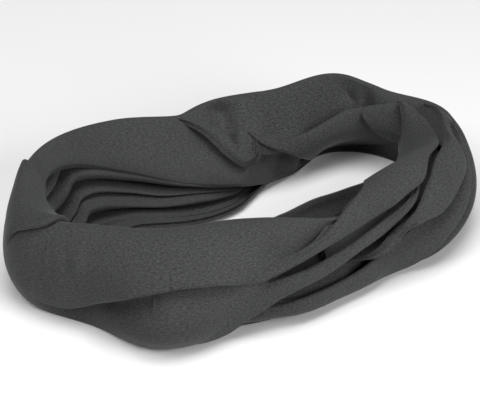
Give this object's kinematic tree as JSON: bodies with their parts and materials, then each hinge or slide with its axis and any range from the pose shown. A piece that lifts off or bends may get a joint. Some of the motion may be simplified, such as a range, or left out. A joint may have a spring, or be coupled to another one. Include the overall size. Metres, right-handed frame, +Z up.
{
  "type": "tube bandana",
  "caption": "Plain charcoal knitted tube bandana, gathered into a loose oval ring of soft folds that lies on a surface, with an open neck hole and a pleated inner channel",
  "frame": {"origin": "on the surface the ring rests on, under the middle of its outline", "axes": "+X along the ring's longer way, from its lapelled left end to its twisted right end; +Y across it, from the broad front band to the back; +Z up from the surface"},
  "size_m": [0.2166, 0.1481, 0.0501],
  "materials": {
    "front_stretch": "matte charcoal melange jersey",
    "right_stretch": "matte charcoal melange jersey",
    "back_stretch": "matte charcoal melange jersey",
    "flap_stretch": "matte charcoal melange jersey",
    "left_stretch": "matte charcoal melange jersey",
    "inner_layers": "matte charcoal melange jersey"
  },
  "bodies": {
    "root": {"front_stretch": "front_stretch", "right_stretch": "right_stretch", "back_stretch": "back_stretch", "flap_stretch": "flap_stretch", "left_stretch": "left_stretch", "inner_layers": "inner_layers"}
  },
  "joints": []
}
